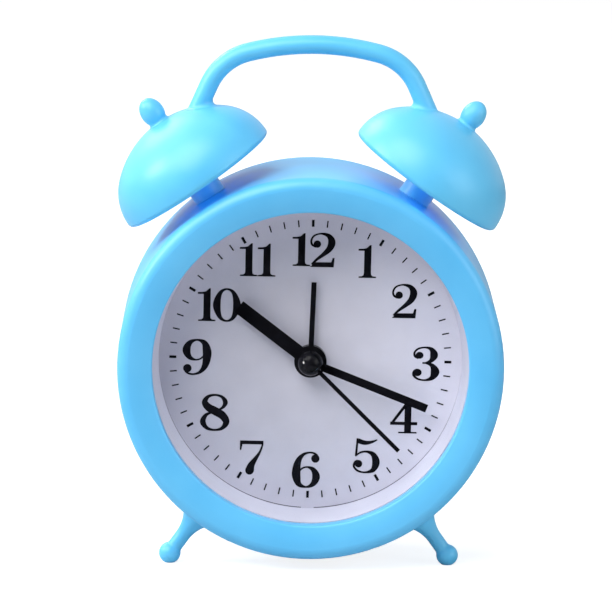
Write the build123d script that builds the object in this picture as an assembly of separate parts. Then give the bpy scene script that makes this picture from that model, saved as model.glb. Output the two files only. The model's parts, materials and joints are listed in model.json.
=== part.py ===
from build123d import *
import os
from math import acos, asin, atan2, cos, hypot, pi, radians, sin, sqrt

os.makedirs("parts", exist_ok=True)

# Twin-bell style quartz alarm clock. Millimetres, +Z up, the dial faces -Y.
# Depths are measured from the bezel's front crest towards the back.

# Case
case_radius = 52.0
case_depth = 45.0
case_wall = 2.2
ground_clearance = 3.3
rear_edge_radius = 0.8
bezel_edge_radius = 3.0
bezel_width = 9.4
bezel_inner_round = 0.8
bezel_dish = 1.3
bezel_lip = 3.5
bezel_thickness = 3.4
collar_wall = 1.4
seat_overlap = 1.0
seat_clearance = 0.2
contact_clearance = 0.03
peg_clearance = 0.03

# Lens, sight ring and dial
lens_thickness = 1.2
sight_ring_depth = 12.5
sight_taper = 1.4
dial_thickness = 0.8
dial_hole_clearance = 0.1

# Rear cover
cover_rim = 2.4
cover_clearance = 0.2
panel_thickness = 2.0
cover_flange = 9.6
well_draft = 0.8
well_wall = 1.8
screw_boss_radius = 2.8
screw_boss_overlap = 0.4
screw_boss_start = 21.0
screw_boss_angles = (65, 115, 245, 295)
screw_radius = 1.0
screw_head_radius = 2.2
screw_head_height = 1.3
screw_length = 9.0
screw_tip_gap = 1.0
screw_hole_clearance = 0.3
rear_pad_width = 26.0
rear_pad_inset = 2.0
rear_pad_length = 8.0

# Bells
bell_overhang = 0.2
bell_height = 19.3
bell_wall = 2.6
bell_shoulder_radius = 15.0
bell_lean = 35.0
bell_angle = 32.3
bell_lift = 5.0
bell_boss_radius = 4.5
bell_screw_bite = 8.0
finial_radius = 3.25
finial_half_length = 4.2
finial_rise = 3.2
finial_seat_round = 0.8
finial_peg_radius = 1.5
finial_peg_length = 5.0

# Handle
handle_thickness = 5.1
handle_depth = 6.0
handle_clear_height = 33.45
handle_top_radius = 70.0
handle_corner_radius = 15.6
handle_inset = 12.7
handle_leg_lean = 24.0
handle_leg_sink = 3.0
handle_seat_round = 1.4
handle_peg_radius = 1.4
handle_peg_length = 4.2

# Feet
foot_angle = 35.6
foot_station = 13.0
foot_ball_radius = 2.95
foot_ball_flat = 0.35
foot_neck_radius = 2.0
foot_neck_round = 1.5
foot_base_radius = 4.8
foot_flare_length = 7.0
foot_peg_radius = 1.4
foot_peg_length = 3.6

# Hands, with the angles they show clockwise from 12
hour_angle = 307.3
minute_angle = 111.5
second_angle = 134.8
alarm_angle = 2.1
hour_length = 24.5
minute_length = 34.0
second_length = 34.0
alarm_length = 21.5
hour_width = 3.8
minute_width = 2.2
second_width = 1.1
alarm_width = 1.4
hand_thickness = 0.5
hub_thickness = 1.0
hub_pitch = 1.4
hour_hub_radius = 4.4
minute_hub_radius = 3.2
alarm_hub_radius = 4.4
cap_radius = 3.4
cap_rise = 2.6

# Concentric arbors
second_shaft_radius = 0.5
tube_wall = 0.75
running_clearance = 0.05
hand_fit = 0.02
bush_wall = 1.05
bush_front_gap = 0.3
bush_rise = 1.0

# Movement housing
movement_depth = 16.5
movement_wall = 1.4
movement_plate = 1.6
base_wall_depth = 11.7
knob_shaft_radius = 1.2
pivot_radius = 0.65
pivot_length = 1.2
gear_pin_radius = 0.6
rotor_pin_radius = 0.4
layer_gap = 0.3

# Gear trains
motion_module = 0.5
cannon_teeth = 10
motion_teeth = 30
motion_pinion_teeth = 8
hour_teeth = 32
alarm_teeth = 32
setting_teeth = 16
train_module = 0.25
centre_teeth = 64
third_pinion_teeth = 8
third_teeth = 60
second_pinion_teeth = 8
step_module = 0.35
second_teeth = 40
step_pinion_teeth = 8
step_teeth = 36
rotor_pinion_teeth = 6
tooth_addendum = 0.75
tooth_dedendum = 1.15
tooth_root_share = 0.33
tooth_tip_share = 0.11
wheel_thickness = 0.8
motion_wheel_thickness = 1.0
pinion_overhang = 0.2
train_gap = 0.6
motion_direction = -10.0
setting_direction = 195.0
third_direction = 75.0
step_direction = 150.0
rotor_direction = 140.0

# Motor, board and buzzer
rotor_magnet_radius = 2.8
rotor_magnet_length = 3.0
stator_thickness = 1.5
stator_hole_clearance = 0.6
stator_ring = 2.4
stator_arm = 3.4
coil_length = 18.0
coil_radius = 3.6
coil_flange = 1.0
coil_wall = 0.5
core_width = 3.0
core_thickness = 1.5
coil_gap = 0.34
coil_middle = 11.0
board_width = 13.0
board_thickness = 1.0
board_gap = 0.4
crystal_radius = 1.0
crystal_length = 6.0
buzzer_radius = 6.0
buzzer_length = 7.0
buzzer_edge_gap = 0.2
buzzer_drop = 9.2
buzzer_port_radius = 1.5
buzzer_port_depth = 2.3
contact_leaf_width = 2.0
contact_leaf_thickness = 0.25
contact_leaf_rise = 4.0

# Cell and its contacts
cell_radius = 7.1
cell_length = 49.2
cell_nub_radius = 2.6
cell_nub_length = 1.3
cell_clearance = 0.4
bay_divider = 1.2
contact_thickness = 0.3
contact_size = 9.0
contact_spring_length = 1.7
contact_spring_width = 4.5

# Rear controls
knob_radius = 6.2
knob_height = 5.8
knob_edge_round = 0.6
knob_gap = 0.5
knob_grooves = 20
knob_groove_radius = 0.5
knob_recess_radius = 4.4
knob_recess_depth = 1.2
door_ledge = 1.0
door_thickness = 1.2
door_clearance = 0.2
door_corner_radius = 1.5
door_grip_height = 0.7
door_grip_length = 13.2
door_grip_width = 1.2
door_grip_pitch = 2.4
door_grip_count = 3
switch_rise = 24.0
switch_travel = 4.0
switch_thumb_width = 4.0
switch_thumb_height = 3.0
switch_thumb_stand = 2.0
switch_plate_margin = 1.8
switch_plate_thickness = 0.8
switch_clearance = 0.2
sound_hole_radius = 0.8
sound_hole_circle = 3.2
sound_hole_count = 6

# Depths that follow from the sizes above
lip_back = bezel_dish + bezel_lip
lens_back = lip_back + lens_thickness
dial_front = lens_back + sight_ring_depth
dial_back = dial_front + dial_thickness
base_inside = dial_back + movement_plate
base_edge = dial_back + base_wall_depth
movement_back = dial_back + movement_depth
cover_inside = movement_back - movement_plate
panel_back = movement_back + panel_thickness
cover_seat = case_depth - cover_rim

# Radii and heights of the case
axis_height = case_radius + ground_clearance
wall_inner_radius = case_radius - case_wall
wall_hole_length = 4 * case_wall
bezel_opening_radius = case_radius - bezel_width
dial_sight_radius = bezel_opening_radius - sight_taper
lens_radius = bezel_opening_radius + seat_overlap
collar_radius = lens_radius + seat_clearance
collar_outer_radius = collar_radius + collar_wall
cover_radius = wall_inner_radius - cover_clearance
well_radius = cover_radius - cover_flange
well_floor_radius = well_radius - well_draft
boss_circle = wall_inner_radius - screw_boss_radius + screw_boss_overlap

# Concentric radii, from the second shaft outwards
minute_bore = second_shaft_radius + running_clearance
minute_radius = minute_bore + tube_wall
hour_bore = minute_radius + running_clearance
hour_radius = hour_bore + tube_wall
alarm_bore = hour_radius + running_clearance
alarm_radius = alarm_bore + tube_wall
bush_bore = alarm_radius + running_clearance
bush_radius = bush_bore + bush_wall

# Hand hubs, stacked from the dial towards the lens
bush_front = dial_front - bush_rise
alarm_hub_front = bush_front - bush_front_gap - hub_thickness
hour_hub_front = alarm_hub_front - hub_pitch
minute_hub_front = hour_hub_front - hub_pitch
second_hub_front = minute_hub_front - hub_pitch
cap_front = second_hub_front - cap_rise

# Wheel layers, stacked from the base towards the back
alarm_layer = base_inside + layer_gap
hour_layer = alarm_layer + motion_wheel_thickness + train_gap
cannon_layer = hour_layer + motion_wheel_thickness + train_gap
motion_layer = cannon_layer + train_gap
centre_layer = motion_layer + motion_wheel_thickness + 2 * train_gap
third_layer = centre_layer + wheel_thickness + train_gap
second_layer = third_layer + wheel_thickness + train_gap
step_layer = second_layer + wheel_thickness + train_gap

# Gear axes in the dial plane, measured from the hands' axis
motion_distance = motion_module * (cannon_teeth + motion_teeth) / 2
hour_module = 2 * motion_distance / (motion_pinion_teeth + hour_teeth)
setting_distance = motion_module * (alarm_teeth + setting_teeth) / 2
third_distance = train_module * (centre_teeth + third_pinion_teeth) / 2
third_module = 2 * third_distance / (third_teeth + second_pinion_teeth)
step_distance = step_module * (second_teeth + step_pinion_teeth) / 2
rotor_distance = step_module * (step_teeth + rotor_pinion_teeth) / 2


def polar(distance, angle, start=(0.0, 0.0)):
    return (start[0] + distance * cos(radians(angle)), start[1] + distance * sin(radians(angle)))


motion_axis = polar(motion_distance, motion_direction)
setting_axis = polar(setting_distance, setting_direction)
third_axis = polar(third_distance, third_direction)
step_axis = polar(step_distance, step_direction)
rotor_axis = polar(rotor_distance, rotor_direction, step_axis)

# The movement holds the cell between its contacts, and the motor's coil beside the stator
stator_ring_radius = rotor_magnet_radius + stator_hole_clearance + stator_ring
coil_column = rotor_axis[0] - stator_ring_radius - coil_gap - coil_radius
cell_bay = cell_length + cell_nub_length + cell_clearance + contact_spring_length + 2 * contact_thickness
inner_half = max(cell_bay / 2, coil_radius + coil_gap - coil_column)
movement_half = inner_half + movement_wall

nodes = {}


def depth(s):
    return s - case_depth / 2


def slab(sketch, front, back):
    plane = Plane(origin=(0, depth(back), axis_height), x_dir=(1, 0, 0), z_dir=(0, -1, 0))
    return extrude(plane * sketch, amount=back - front)


def rod(radius, front, back, at=(0.0, 0.0)):
    return slab(Pos(at[0], at[1]) * Circle(radius), front, back)


def block(x0, x1, z0, z1, front, back):
    return slab(Pos((x0 + x1) / 2, (z0 + z1) / 2) * Rectangle(x1 - x0, z1 - z0), front, back)


def turned(outline, at=(0.0, 0.0)):
    solid = revolve(make_face(outline), Axis.Y)
    return Pos(at[0], depth(0), axis_height + at[1]) * solid


def on_dial(angle, distance):
    return (distance * sin(radians(angle)), distance * cos(radians(angle)))


# A spur gear with a tooth, or a gap, towards the given direction
def gear(teeth, module, front, back, at=(0.0, 0.0), facing=0.0, gap=False):
    pitch = 2 * pi / teeth
    tip = module * (teeth / 2 + tooth_addendum)
    root = module * (teeth / 2 - tooth_dedendum)
    start = radians(facing) + (pitch / 2 if gap else 0.0)
    points = []
    for index in range(teeth):
        middle = start + index * pitch
        for radius, share in (
            (root, -tooth_root_share),
            (tip, -tooth_tip_share),
            (tip, tooth_tip_share),
            (root, tooth_root_share),
        ):
            turn = middle + share * pitch
            points.append((at[0] + radius * cos(turn), at[1] + radius * sin(turn)))
    return slab(make_face(Polyline(*points, close=True)), front, back)


# Front case: bezel, drum, lens collar, screw bosses and rear pad in one moulding
def front_case():
    crest_radius = case_radius - bezel_edge_radius
    run = crest_radius - bezel_opening_radius
    dish_radius = (run**2 + bezel_dish**2) / (2 * bezel_dish)
    round_centre = bezel_opening_radius + bezel_inner_round
    round_turn = asin((crest_radius - round_centre) / (dish_radius - bezel_inner_round))
    round_depth = dish_radius - (dish_radius - bezel_inner_round) * cos(round_turn)
    dish_start = (crest_radius - dish_radius * sin(round_turn), dish_radius * (1 - cos(round_turn)))
    dish_middle = (crest_radius - dish_radius * sin(round_turn / 2), dish_radius * (1 - cos(round_turn / 2)))
    inner_turn = (round_turn + pi / 2) / 2
    inner_middle = (
        round_centre - bezel_inner_round * sin(inner_turn),
        round_depth - bezel_inner_round * cos(inner_turn),
    )
    edge_middle = (
        crest_radius + bezel_edge_radius * cos(pi / 4),
        bezel_edge_radius * (1 - sin(pi / 4)),
    )
    rear_middle = (
        case_radius - rear_edge_radius * (1 - cos(pi / 4)),
        case_depth - rear_edge_radius * (1 - sin(pi / 4)),
    )
    outline = ThreePointArc((bezel_opening_radius, round_depth), inner_middle, dish_start)
    outline += ThreePointArc(dish_start, dish_middle, (crest_radius, 0))
    outline += ThreePointArc((crest_radius, 0), edge_middle, (case_radius, bezel_edge_radius))
    outline += Line((case_radius, bezel_edge_radius), (case_radius, case_depth - rear_edge_radius))
    outline += ThreePointArc(
        (case_radius, case_depth - rear_edge_radius), rear_middle, (case_radius - rear_edge_radius, case_depth)
    )
    outline += Polyline(
        (case_radius - rear_edge_radius, case_depth),
        (wall_inner_radius, case_depth),
        (wall_inner_radius, bezel_thickness),
        (collar_outer_radius, bezel_thickness),
        (collar_outer_radius, dial_back),
        (collar_radius, dial_back),
        (collar_radius, lip_back),
        (bezel_opening_radius, lip_back),
        (bezel_opening_radius, round_depth),
    )
    case = turned(outline)
    for angle in screw_boss_angles:
        place = on_dial(angle, boss_circle)
        case += rod(screw_boss_radius, screw_boss_start, cover_seat, place)
        case -= rod(screw_radius, cover_seat - screw_length, cover_seat, place)
    half_pad = rear_pad_width / 2
    pad_top = -sqrt(wall_inner_radius**2 - half_pad**2)
    pad_back = case_depth - rear_pad_inset
    pad = block(-half_pad, half_pad, -axis_height, pad_top, pad_back - rear_pad_length, pad_back)
    case += pad - rod(wall_inner_radius + case_wall / 2, 0, case_depth)
    for side in (-1, 1):
        screw_hole = Cylinder(screw_radius + screw_hole_clearance, wall_hole_length)
        case -= bell_frame(side) * Pos(0, 0, -bell_lift) * screw_hole
        case -= foot_frame(side) * Cylinder(foot_peg_radius + peg_clearance, wall_hole_length)
    return case


# Bells: a crown arc over a shoulder arc, with a full round at the rim
bell_radius = case_depth / 2 + bell_overhang
bell_rim_round = bell_wall / 2
bell_place = on_dial(bell_angle, case_radius + bell_lift)
bell_reach = bell_radius - bell_shoulder_radius
bell_rise = bell_height - bell_rim_round
bell_crown_radius = (bell_reach**2 + bell_rise**2 - bell_shoulder_radius**2) / (
    2 * (bell_rise - bell_shoulder_radius)
)
bell_crown_centre = bell_height - bell_crown_radius
bell_join_angle = atan2(bell_rim_round - bell_crown_centre, bell_reach)


def bell_frame(side):
    return Pos(side * bell_place[0], 0, axis_height + bell_place[1]) * Rot(0, side * bell_lean, 0)


# The two arcs of the dome, from its edge to its top, inside the outer face by the inset
def bell_arcs(inset):
    shoulder = bell_shoulder_radius - inset
    crown = bell_crown_radius - inset
    shoulder_turn = bell_join_angle / 2
    crown_turn = (bell_join_angle + pi / 2) / 2
    edge = (bell_reach + shoulder, bell_rim_round)
    shoulder_middle = (
        bell_reach + shoulder * cos(shoulder_turn),
        bell_rim_round + shoulder * sin(shoulder_turn),
    )
    join = (crown * cos(bell_join_angle), bell_crown_centre + crown * sin(bell_join_angle))
    crown_middle = (crown * cos(crown_turn), bell_crown_centre + crown * sin(crown_turn))
    top = (0, bell_crown_centre + crown)
    arcs = ThreePointArc(edge, shoulder_middle, join) + ThreePointArc(join, crown_middle, top)
    return arcs, edge, top


def dome(clearance):
    arcs, edge, top = bell_arcs(-clearance)
    outline = arcs + Polyline(top, (0, 0), (edge[0], 0), edge)
    return revolve(Plane.XZ * make_face(outline), Axis.Z)


def bell_shell():
    outer, outer_edge, outer_top = bell_arcs(0)
    inner, inner_edge, inner_top = bell_arcs(bell_wall)
    outline = outer + inner + Line(outer_top, inner_top)
    outline += ThreePointArc(outer_edge, (bell_radius - bell_rim_round, 0), inner_edge)
    return revolve(Plane.XZ * make_face(outline), Axis.Z)


def drum_cut(clearance):
    return rod(case_radius + clearance, 0, case_depth)


def bell(side):
    frame = bell_frame(side)
    boss_top = bell_height - bell_wall / 2
    boss_drop = 2 * bell_lift
    boss = Pos(0, 0, (boss_top - boss_drop) / 2) * Cylinder(bell_boss_radius, boss_top + boss_drop)
    shell = frame * bell_shell()
    shell += frame * boss - drum_cut(contact_clearance)
    pilot_length = bell_screw_bite + bell_lift
    pilot = Pos(0, 0, bell_screw_bite - bell_lift - pilot_length / 2) * Cylinder(screw_radius, pilot_length)
    shell -= frame * pilot
    peg_middle = bell_height - finial_peg_length / 2
    peg_hole = Cylinder(finial_peg_radius + peg_clearance, 2 * finial_peg_length)
    shell -= frame * Pos(0, 0, peg_middle) * peg_hole
    shell -= handle_peg(side, handle_peg_radius + peg_clearance)
    return shell


def finial(side):
    middle = bell_height + finial_rise
    egg = Pos(0, 0, middle) * scale(Sphere(1), (finial_radius, finial_radius, finial_half_length))
    seat = dome(contact_clearance)
    knob = fillet(new_edges(egg, seat, combined=egg + seat), finial_seat_round) - seat
    peg_base = bell_height - finial_peg_length
    peg = Pos(0, 0, (peg_base + middle) / 2) * Cylinder(finial_peg_radius, middle - peg_base)
    return bell_frame(side) * (knob + peg)


# Handle: a bow of one flat top arc, two corner arcs and two straight legs that end on the bells
handle_rise = case_radius + handle_clear_height
handle_top_half_width = bell_place[0] - handle_inset
leg_direction = (sin(radians(handle_leg_lean)), -cos(radians(handle_leg_lean)))


def handle_points():
    turn = asin(handle_top_half_width / handle_top_radius)
    top_centre = handle_rise - handle_top_radius
    shoulder = (handle_top_half_width, top_centre + handle_top_radius * cos(turn))
    centre = (
        shoulder[0] - handle_corner_radius * sin(turn),
        shoulder[1] - handle_corner_radius * cos(turn),
    )
    lean = radians(handle_leg_lean)
    middle_turn = (pi / 2 - turn + lean) / 2
    bend = (
        centre[0] + handle_corner_radius * cos(middle_turn),
        centre[1] + handle_corner_radius * sin(middle_turn),
    )
    knee = (
        centre[0] + handle_corner_radius * cos(lean),
        centre[1] + handle_corner_radius * sin(lean),
    )
    return shoulder, bend, knee


# Length of a leg from its knee to the bell's crown
def leg_length():
    knee = handle_points()[2]
    lean = radians(bell_lean)
    offset = (
        knee[0] - bell_place[0] - bell_crown_centre * sin(lean),
        knee[1] - bell_place[1] - bell_crown_centre * cos(lean),
    )
    along = offset[0] * leg_direction[0] + offset[1] * leg_direction[1]
    return -along - sqrt(along**2 - hypot(*offset) ** 2 + bell_crown_radius**2)


def handle_peg(side, radius):
    knee = handle_points()[2]
    leg = Pos(side * knee[0], 0, axis_height + knee[1]) * Rot(0, 180 - side * handle_leg_lean, 0)
    return leg * Pos(0, 0, leg_length()) * Cylinder(radius, 2 * handle_peg_length)


def handle():
    shoulder, bend, knee = handle_points()
    reach = leg_length() + handle_leg_sink
    toe = (knee[0] + reach * leg_direction[0], knee[1] + reach * leg_direction[1])

    def bow(point, side):
        return (side * point[0], 0, axis_height + point[1])

    path = Line(bow(toe, -1), bow(knee, -1))
    path += ThreePointArc(bow(knee, -1), bow(bend, -1), bow(shoulder, -1))
    path += ThreePointArc(bow(shoulder, -1), (0, 0, axis_height + handle_rise), bow(shoulder, 1))
    path += ThreePointArc(bow(shoulder, 1), bow(bend, 1), bow(knee, 1))
    path += Line(bow(knee, 1), bow(toe, 1))
    section_plane = Plane(
        origin=bow(toe, -1),
        x_dir=(0, 1, 0),
        z_dir=(leg_direction[0], 0, -leg_direction[1]),
    )
    bar = sweep(section_plane * Ellipse(handle_depth / 2, handle_thickness / 2), path=path)
    for side in (-1, 1):
        seat = bell_frame(side) * dome(contact_clearance)
        joined = bar + seat
        ring = joined.edges().filter_by(lambda e: e.geom_type == GeomType.BSPLINE and side * e.center().X > 0)
        bar = fillet(ring, handle_seat_round) - seat
    for side in (-1, 1):
        bar += handle_peg(side, handle_peg_radius)
    return bar


# Feet: turned legs with a ball end, pegged into the drum
foot_ball_height = foot_ball_radius - foot_ball_flat
foot_reach = (axis_height - foot_ball_height) / cos(radians(foot_angle))


def foot_frame(side):
    x, z = on_dial(180 - side * foot_angle, case_radius)
    return Pos(x, depth(foot_station), axis_height + z) * Rot(0, 180 - side * foot_angle, 0)


def foot(side):
    ball = foot_reach - case_radius
    round_centre = foot_neck_radius + foot_neck_round
    round_reach = foot_ball_radius + foot_neck_round
    ball_turn = -acos(round_centre / round_reach)
    neck_end = ball + round_reach * sin(ball_turn)
    round_middle = (
        round_centre - foot_neck_round * cos(ball_turn / 2),
        neck_end - foot_neck_round * sin(ball_turn / 2),
    )
    ball_start = (foot_ball_radius * cos(ball_turn), ball + foot_ball_radius * sin(ball_turn))
    half_turn = (ball_turn + pi / 2) / 2
    ball_middle = (foot_ball_radius * cos(half_turn), ball + foot_ball_radius * sin(half_turn))
    spread = foot_base_radius - foot_neck_radius
    flare_radius = (spread**2 + foot_flare_length**2) / (2 * spread)
    flare_turn = asin(foot_flare_length / flare_radius) / 2
    flare_middle = (
        foot_neck_radius + flare_radius * (1 - cos(flare_turn)),
        foot_flare_length - flare_radius * sin(flare_turn),
    )
    root = -case_wall
    outline = Polyline((0, root), (foot_base_radius, root), (foot_base_radius, 0))
    outline += ThreePointArc((foot_base_radius, 0), flare_middle, (foot_neck_radius, foot_flare_length))
    outline += Line((foot_neck_radius, foot_flare_length), (foot_neck_radius, neck_end))
    outline += ThreePointArc((foot_neck_radius, neck_end), round_middle, ball_start)
    outline += ThreePointArc(ball_start, ball_middle, (0, ball + foot_ball_radius))
    outline += Line((0, ball + foot_ball_radius), (0, root))
    leg = foot_frame(side) * revolve(Plane.XZ * make_face(outline), Axis.Z)
    leg -= drum_cut(contact_clearance)
    leg += foot_frame(side) * Cylinder(foot_peg_radius, 2 * foot_peg_length)
    floor_cut = Pos(0, 0, -case_radius) * Box(4 * case_radius, 4 * case_radius, 2 * case_radius)
    return leg - floor_cut


# Lens, sight ring and dial
def lens():
    return rod(lens_radius, lip_back, lens_back)


def sight_ring():
    outline = Polyline(
        (lens_radius, lens_back),
        (lens_radius, dial_front),
        (dial_sight_radius, dial_front),
        (bezel_opening_radius, lens_back),
        close=True,
    )
    return turned(outline)


def dial():
    return rod(lens_radius, dial_front, dial_back) - rod(
        bush_radius + dial_hole_clearance, dial_front, dial_back
    )


# Hands
def baton(angle, length, width, hub_front):
    face = Pos(length / 2, 0) * Rectangle(length, width)
    front = hub_front + (hub_thickness - hand_thickness) / 2
    return slab(Rot(0, 0, 90 - angle) * face, front, front + hand_thickness)


def tube_hand(angle, length, width, hub_radius, hub_front, tube_radius):
    hub_back = hub_front + hub_thickness
    hand = baton(angle, length, width, hub_front) + rod(hub_radius, hub_front, hub_back)
    return hand - rod(tube_radius + hand_fit, hub_front, hub_back)


def second_hand():
    hub_back = second_hub_front + hub_thickness
    dome_radius = (cap_radius**2 + cap_rise**2) / (2 * cap_rise)
    half_turn = atan2(cap_radius, dome_radius - cap_rise) / 2
    outline = Polyline((0, cap_front), (0, hub_back), (cap_radius, hub_back), (cap_radius, second_hub_front))
    outline += ThreePointArc(
        (cap_radius, second_hub_front),
        (dome_radius * sin(half_turn), cap_front + dome_radius * (1 - cos(half_turn))),
        (0, cap_front),
    )
    hand = baton(second_angle, second_length, second_width, second_hub_front) + turned(outline)
    return hand - rod(second_shaft_radius + hand_fit, second_hub_front, hub_back)


# Motion work: alarm, hour and minute tubes with their wheels, and the setting shafts
def alarm_wheel():
    back = alarm_layer + motion_wheel_thickness
    wheel = gear(alarm_teeth, motion_module, alarm_layer, back, facing=setting_direction)
    wheel += rod(alarm_radius, alarm_hub_front, back)
    return wheel - rod(alarm_bore, alarm_hub_front, back)


def hour_wheel():
    back = hour_layer + motion_wheel_thickness
    wheel = gear(hour_teeth, hour_module, hour_layer, back, facing=motion_direction)
    wheel += rod(hour_radius, hour_hub_front, back)
    return wheel - rod(hour_bore, hour_hub_front, back)


cannon_back = motion_layer + motion_wheel_thickness + train_gap / 2
spigot_radius = minute_radius
spigot_back = centre_layer + wheel_thickness + layer_gap


def cannon_pinion():
    pinion = gear(cannon_teeth, motion_module, cannon_layer, cannon_back, facing=motion_direction)
    pinion += rod(minute_radius, minute_hub_front, spigot_back)
    return pinion - rod(minute_bore, minute_hub_front, spigot_back)


def setting_shaft(place, shoulder):
    knob_back = panel_back + knob_gap + knob_height - knob_recess_depth
    shaft = rod(knob_shaft_radius, shoulder, knob_back, place)
    return shaft + rod(pivot_radius, base_inside - pivot_length, shoulder, place)


def motion_wheel():
    back = motion_layer + motion_wheel_thickness
    facing = motion_direction + 180
    wheel = gear(motion_teeth, motion_module, motion_layer, back, motion_axis, facing, gap=True)
    front = hour_layer - pinion_overhang
    wheel += gear(motion_pinion_teeth, hour_module, front, motion_layer, motion_axis, facing, gap=True)
    return wheel + setting_shaft(motion_axis, front)


def alarm_setting_gear():
    front = alarm_layer - pinion_overhang / 2
    back = alarm_layer + motion_wheel_thickness + pinion_overhang
    wheel = gear(setting_teeth, motion_module, front, back, setting_axis, setting_direction + 180, gap=True)
    return wheel + setting_shaft(setting_axis, front)


# Going train: rotor, intermediate, second, third and centre wheels
def centre_wheel():
    back = centre_layer + wheel_thickness
    wheel = gear(centre_teeth, train_module, centre_layer, back, facing=third_direction)
    return wheel - rod(spigot_radius + running_clearance, centre_layer, back)


def third_wheel():
    back = third_layer + wheel_thickness
    facing = third_direction + 180
    pinion_front = centre_layer - pinion_overhang
    wheel = gear(third_teeth, third_module, third_layer, back, third_axis, facing, gap=True)
    wheel += gear(third_pinion_teeth, train_module, pinion_front, third_layer, third_axis, facing, gap=True)
    return wheel - rod(gear_pin_radius + running_clearance, pinion_front, back, third_axis)


def second_wheel():
    back = second_layer + wheel_thickness
    shaft_front = cap_front + cap_rise
    wheel = gear(second_teeth, step_module, second_layer, back, facing=step_direction)
    wheel += gear(
        second_pinion_teeth, third_module, third_layer - pinion_overhang, second_layer, facing=third_direction
    )
    return wheel + rod(second_shaft_radius, shaft_front, cover_inside + movement_plate / 2)


def intermediate_wheel():
    back = step_layer + wheel_thickness
    pinion_front = second_layer - pinion_overhang
    wheel = gear(step_teeth, step_module, step_layer, back, step_axis, rotor_direction)
    wheel += gear(
        step_pinion_teeth, step_module, pinion_front, step_layer, step_axis, step_direction + 180, gap=True
    )
    return wheel - rod(gear_pin_radius + running_clearance, pinion_front, back, step_axis)


rotor_back = step_layer + wheel_thickness + pinion_overhang
magnet_back = second_layer + wheel_thickness / 2
magnet_front = magnet_back - rotor_magnet_length


def rotor():
    pinion = gear(
        rotor_pinion_teeth, step_module, magnet_back, rotor_back, rotor_axis, rotor_direction + 180, gap=True
    )
    magnet = rod(rotor_magnet_radius, magnet_front, magnet_back, rotor_axis)
    return pinion + magnet - rod(rotor_pin_radius + running_clearance, magnet_front, rotor_back, rotor_axis)


# Movement housing
bay_middle = cell_radius + cell_clearance - inner_half
bay_top = bay_middle + cell_radius + cell_clearance
bay_bottom = bay_middle - cell_radius - cell_clearance
cell_axis_depth = base_inside + cell_radius + cell_clearance / 2


def housing_wall(front, back):
    wall = block(-movement_half, movement_half, -movement_half, movement_half, front, back)
    wall -= block(-inner_half, inner_half, -inner_half, inner_half, front, back)
    return wall + block(-movement_half, movement_half, bay_top, bay_top + bay_divider, front, back)


def movement_base():
    base = block(-movement_half, movement_half, -movement_half, movement_half, dial_back, base_inside)
    base += housing_wall(base_inside, base_edge)
    base += rod(bush_radius, bush_front, dial_back)
    base -= rod(bush_bore, bush_front, base_inside)
    for place in (motion_axis, setting_axis):
        base -= rod(pivot_radius + running_clearance, dial_back, base_inside, place)
    return base


def gear_pin(radius, front, place):
    return rod(radius, front, cover_inside, place)


def movement_cover():
    cover = block(-movement_half, movement_half, -movement_half, movement_half, cover_inside, movement_back)
    cover += housing_wall(base_edge, cover_inside)
    cover -= block(
        -inner_half + movement_wall / 2,
        inner_half - movement_wall / 2,
        bay_bottom,
        bay_top,
        cover_inside,
        movement_back,
    )
    cover += gear_pin(gear_pin_radius, centre_layer - pinion_overhang, third_axis)
    cover += gear_pin(gear_pin_radius, second_layer - pinion_overhang, step_axis)
    cover += gear_pin(rotor_pin_radius, magnet_front, rotor_axis)
    for place in (motion_axis, setting_axis):
        cover -= rod(knob_shaft_radius + running_clearance, cover_inside, movement_back, place)
    cover -= rod(second_shaft_radius + running_clearance, cover_inside, movement_back)
    cover -= rod(sound_hole_circle + sound_hole_radius, cover_inside, movement_back, buzzer_place)
    return cover


# Stepping motor
stator_front = magnet_front + (rotor_magnet_length - stator_thickness) / 2
stator_back = stator_front + stator_thickness
coil_low = coil_middle - coil_length / 2
coil_high = coil_middle + coil_length / 2


def stator():
    left = coil_column - core_width / 2
    pole = rotor_axis[0] + stator_ring_radius
    plate = rod(stator_ring_radius, stator_front, stator_back, rotor_axis)
    post = rotor_axis[0] - stator_arm / 2
    low = coil_low - stator_arm
    high = coil_high + stator_arm
    plate += block(post, post + stator_arm, low, high, stator_front, stator_back)
    plate += block(left, pole - stator_ring, coil_high, high, stator_front, stator_back)
    plate += block(left, pole - stator_ring, low, coil_low, stator_front, stator_back)
    return plate - rod(rotor_magnet_radius + stator_hole_clearance, stator_front, stator_back, rotor_axis)


def coil_core():
    return block(
        coil_column - core_width / 2,
        coil_column + core_width / 2,
        coil_low - stator_arm,
        coil_high + stator_arm,
        stator_back,
        stator_back + core_thickness,
    )


core_middle = stator_back + core_thickness / 2


def upright(radius, low, high):
    place = Pos(coil_column, depth(core_middle), axis_height + (low + high) / 2)
    return place * Cylinder(radius, high - low)


def core_slot():
    half_width = core_width / 2 + peg_clearance
    return block(
        coil_column - half_width,
        coil_column + half_width,
        coil_low,
        coil_high,
        stator_back - peg_clearance,
        stator_back + core_thickness + peg_clearance,
    )


sleeve_radius = hypot(core_width, core_thickness) / 2 + coil_wall


def coil_bobbin():
    sleeve = upright(sleeve_radius, coil_low, coil_high)
    sleeve += upright(coil_radius, coil_low, coil_low + coil_flange)
    sleeve += upright(coil_radius, coil_high - coil_flange, coil_high)
    return sleeve - core_slot()


def coil_winding():
    low = coil_low + coil_flange
    high = coil_high - coil_flange
    return upright(coil_radius - coil_wall, low, high) - upright(sleeve_radius, low, high)


# Board, crystal, buzzer and alarm contact
board_back = cover_inside - board_gap
board_front = board_back - board_thickness
board_right = inner_half - board_gap
board_left = board_right - board_width
board_top = inner_half - board_gap
board_bottom = bay_top + bay_divider + board_gap
buzzer_place = (board_right - buzzer_edge_gap - buzzer_radius, board_top - buzzer_drop)


def circuit_board():
    return block(board_left, board_right, board_bottom, board_top, board_front, board_back)


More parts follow.
